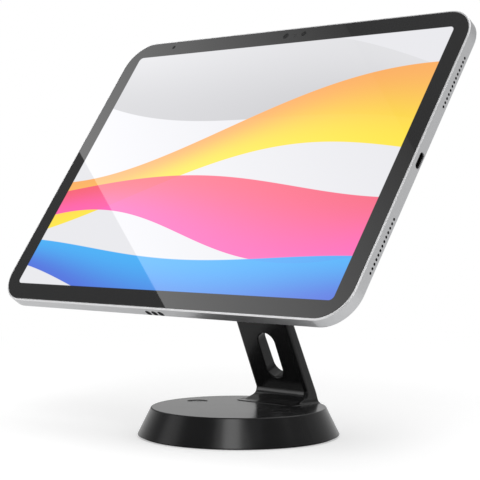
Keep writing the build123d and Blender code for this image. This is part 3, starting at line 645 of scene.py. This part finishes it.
coverGlass = {
    "corner": 17.1 * mm,
    "cornerSteps": 28,
    "edgeRound": 0.28 * mm,
    "edgeSteps": 4,
    "border": (0.025, 0.025, 0.0255),
    "blackGap": 0.6 * mm,
    "displayCorner": 2.6 * mm,
    "edgeBlur": 0.18 * mm,
    "index": 1.52,
    "frontFade": (-0.3 * mm, -0.1 * mm),
    "darkPrint": (0.002, 0.002, 0.0025),
    "rough": 0.012,
    "smearGrain": 38 * mm,
    "smearFade": (0.5, 0.75),
    "smearRough": 0.02,
    "markRough": 0.7,
}

# Clear spots in the printed border: across, up, radius and how dark
sensorMarks = (
    (-88.8 * mm, 85.0 * mm, 1.2 * mm, 0.9),
    (-0.5 * mm, 84.5 * mm, 1.9 * mm, 1.0),
    (6.5 * mm, 84.2 * mm, 1.3 * mm, 0.5),
    (12.4 * mm, 84.8 * mm, 1.7 * mm, 1.0),
)

# Ribbons across the picture, from the back one to the front one. Lengths are millimetres.
pictureGround = (0.815, 0.815, 0.845)
ribbonShade = 1.1                                            # reach of a ribbon's blend, in its half widths
ribbons = (
    {
        "middle": 52.0, "rise": -0.22, "swing": 13.0, "wave": 71.0, "start": 0.4,
        "half": 21.0, "swell": 9.0, "swellWave": 66.0, "swellStart": 2.0,
        "under": (0.55, 0.55, 0.57), "over": (0.74, 0.74, 0.76), "cover": 0.85,
    },
    {
        "middle": 6.0, "rise": 0.16, "swing": 15.0, "wave": 56.0, "start": 0.6,
        "half": 19.0, "swell": 8.0, "swellWave": 61.0, "swellStart": -0.9,
        "under": (1.0, 0.80, 0.035), "over": (0.97, 0.42, 0.10), "cover": 0.96,
    },
    {
        "middle": -31.0, "rise": 0.05, "swing": 14.0, "wave": 58.0, "start": 2.9,
        "half": 15.0, "swell": 7.0, "swellWave": 49.0, "swellStart": 0.6,
        "under": (1.0, 0.085, 0.46), "over": (0.93, 0.10, 0.19), "cover": 0.93,
    },
    {
        "middle": -69.0, "rise": -0.03, "swing": 8.0, "wave": 47.0, "start": 4.6,
        "half": 12.0, "swell": 5.0, "swellWave": 58.0, "swellStart": 1.2,
        "under": (0.05, 0.14, 0.72), "over": (0.03, 0.42, 0.93), "cover": 0.95,
    },
)


def paintPicture(sheet, beside, up):                         # beside and up are in millimetres here
    picture = pictureGround
    blur = coverGlass["edgeBlur"] / mm
    for ribbon in ribbons:
        sway = (beside / ribbon["wave"] + ribbon["start"]).sine() * ribbon["swing"]
        middle = ribbon["middle"] + beside * ribbon["rise"] + sway
        swell = (beside / ribbon["swellWave"] + ribbon["swellStart"]).sine() * ribbon["swell"]
        half = ribbon["half"] + swell
        away = up - middle
        inside = 1 - sheet.fade(abs(away) - half, -blur, blur)
        share = sheet.fade(away / half, -ribbonShade, ribbonShade)
        colour = sheet.mix(share, ribbon["under"], ribbon["over"])
        picture = sheet.mix(inside * ribbon["cover"], picture, colour)
    return picture


def makeGlassFinish():
    fixed = {"IOR": coverGlass["index"], "Emission_Strength": 1.0}
    glass = Finish("coverGlass", coverGlass["border"], coverGlass["rough"], **fixed)
    beside = glass.dot(glass.place, across)
    up = glass.dot(glass.place, screenUp) - screenCentre.dot(screenUp)
    out = glass.dot(glass.place, screenOut) - screenCentre.dot(screenOut)
    halfWide = (displayRight - displayLeft) / 2
    halfHigh = (displayHigh - displayLow) / 2
    corner = coverGlass["displayCorner"]
    blur = coverGlass["edgeBlur"]
    front = glass.fade(out, *coverGlass["frontFade"])
    gap = coverGlass["blackGap"]
    lit = roundedMask(glass, beside, up, halfWide - gap, halfHigh - gap, corner, blur) * front
    picture = paintPicture(glass, beside / mm, up / mm)
    glass.give("Emission Color", glass.mix(lit, (0.0, 0.0, 0.0), picture))
    marks = 0.0
    for markX, markY, radius, dark in sensorMarks:
        distanceX = beside - markX
        distanceY = up - markY
        away = (distanceX * distanceX + distanceY * distanceY).root()
        marks = (1 - glass.fade(away, radius - blur, radius + blur)) * dark + marks
    dark = marks.most(lit).least(1.0)
    glass.give("Base Color", glass.mix(dark, coverGlass["border"], coverGlass["darkPrint"]))
    smear = glass.noise(coverGlass["smearGrain"], detail=4.0)
    rough = coverGlass["rough"] + glass.fade(smear, *coverGlass["smearFade"]) * coverGlass["smearRough"]
    glass.give("Roughness", rough + marks * coverGlass["markRough"])
    return glass.material


def addCoverGlass():
    wide = glassRight - glassLeft
    high = glassHigh - glassLow
    thick = glassFront - glassBack
    bpy.ops.object.select_all(action="DESELECT")
    bpy.ops.mesh.primitive_plane_add(size=1.0)
    glass = bpy.context.object
    glass.name = "cover_glass"
    glass.scale = (wide, high, 1.0)
    bpy.ops.object.transform_apply(location=True, rotation=True, scale=True)
    bpy.ops.object.mode_set(mode="EDIT")
    bpy.ops.mesh.select_all(action="SELECT")
    bpy.ops.mesh.bevel(offset=coverGlass["corner"], segments=coverGlass["cornerSteps"], affect="VERTICES")
    bpy.ops.mesh.select_all(action="SELECT")
    bpy.ops.mesh.extrude_region_move(TRANSFORM_OT_translate={"value": (0, 0, -thick)})
    bpy.ops.mesh.select_all(action="SELECT")
    bpy.ops.mesh.normals_make_consistent(inside=False)
    bpy.ops.mesh.select_mode(type="EDGE")
    bpy.ops.mesh.select_all(action="DESELECT")
    bpy.ops.object.mode_set(mode="OBJECT")
    for edge in glass.data.edges:
        ends = [glass.data.vertices[i].co for i in edge.vertices]
        edge.select = all(end.z > -thick / 2 for end in ends)
    bpy.ops.object.mode_set(mode="EDIT")
    bpy.ops.mesh.bevel(offset=coverGlass["edgeRound"], segments=coverGlass["edgeSteps"], affect="EDGES")
    bpy.ops.object.mode_set(mode="OBJECT")
    glass.matrix_world = screenPlace
    bpy.ops.object.transform_apply(location=True, rotation=True, scale=True)
    bpy.ops.object.shade_smooth()
    bpy.ops.object.modifier_add(type="WEIGHTED_NORMAL")      # keeps the wide face's reflection flat
    bpy.ops.object.modifier_apply(modifier=glass.modifiers[0].name)
    glass.data.materials.append(makeGlassFinish())
    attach(glass, "tablet")
    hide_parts("front_glass")


addCoverGlass()
print("cover glass made")


bpy.context.scene.view_settings.view_transform = "Standard"
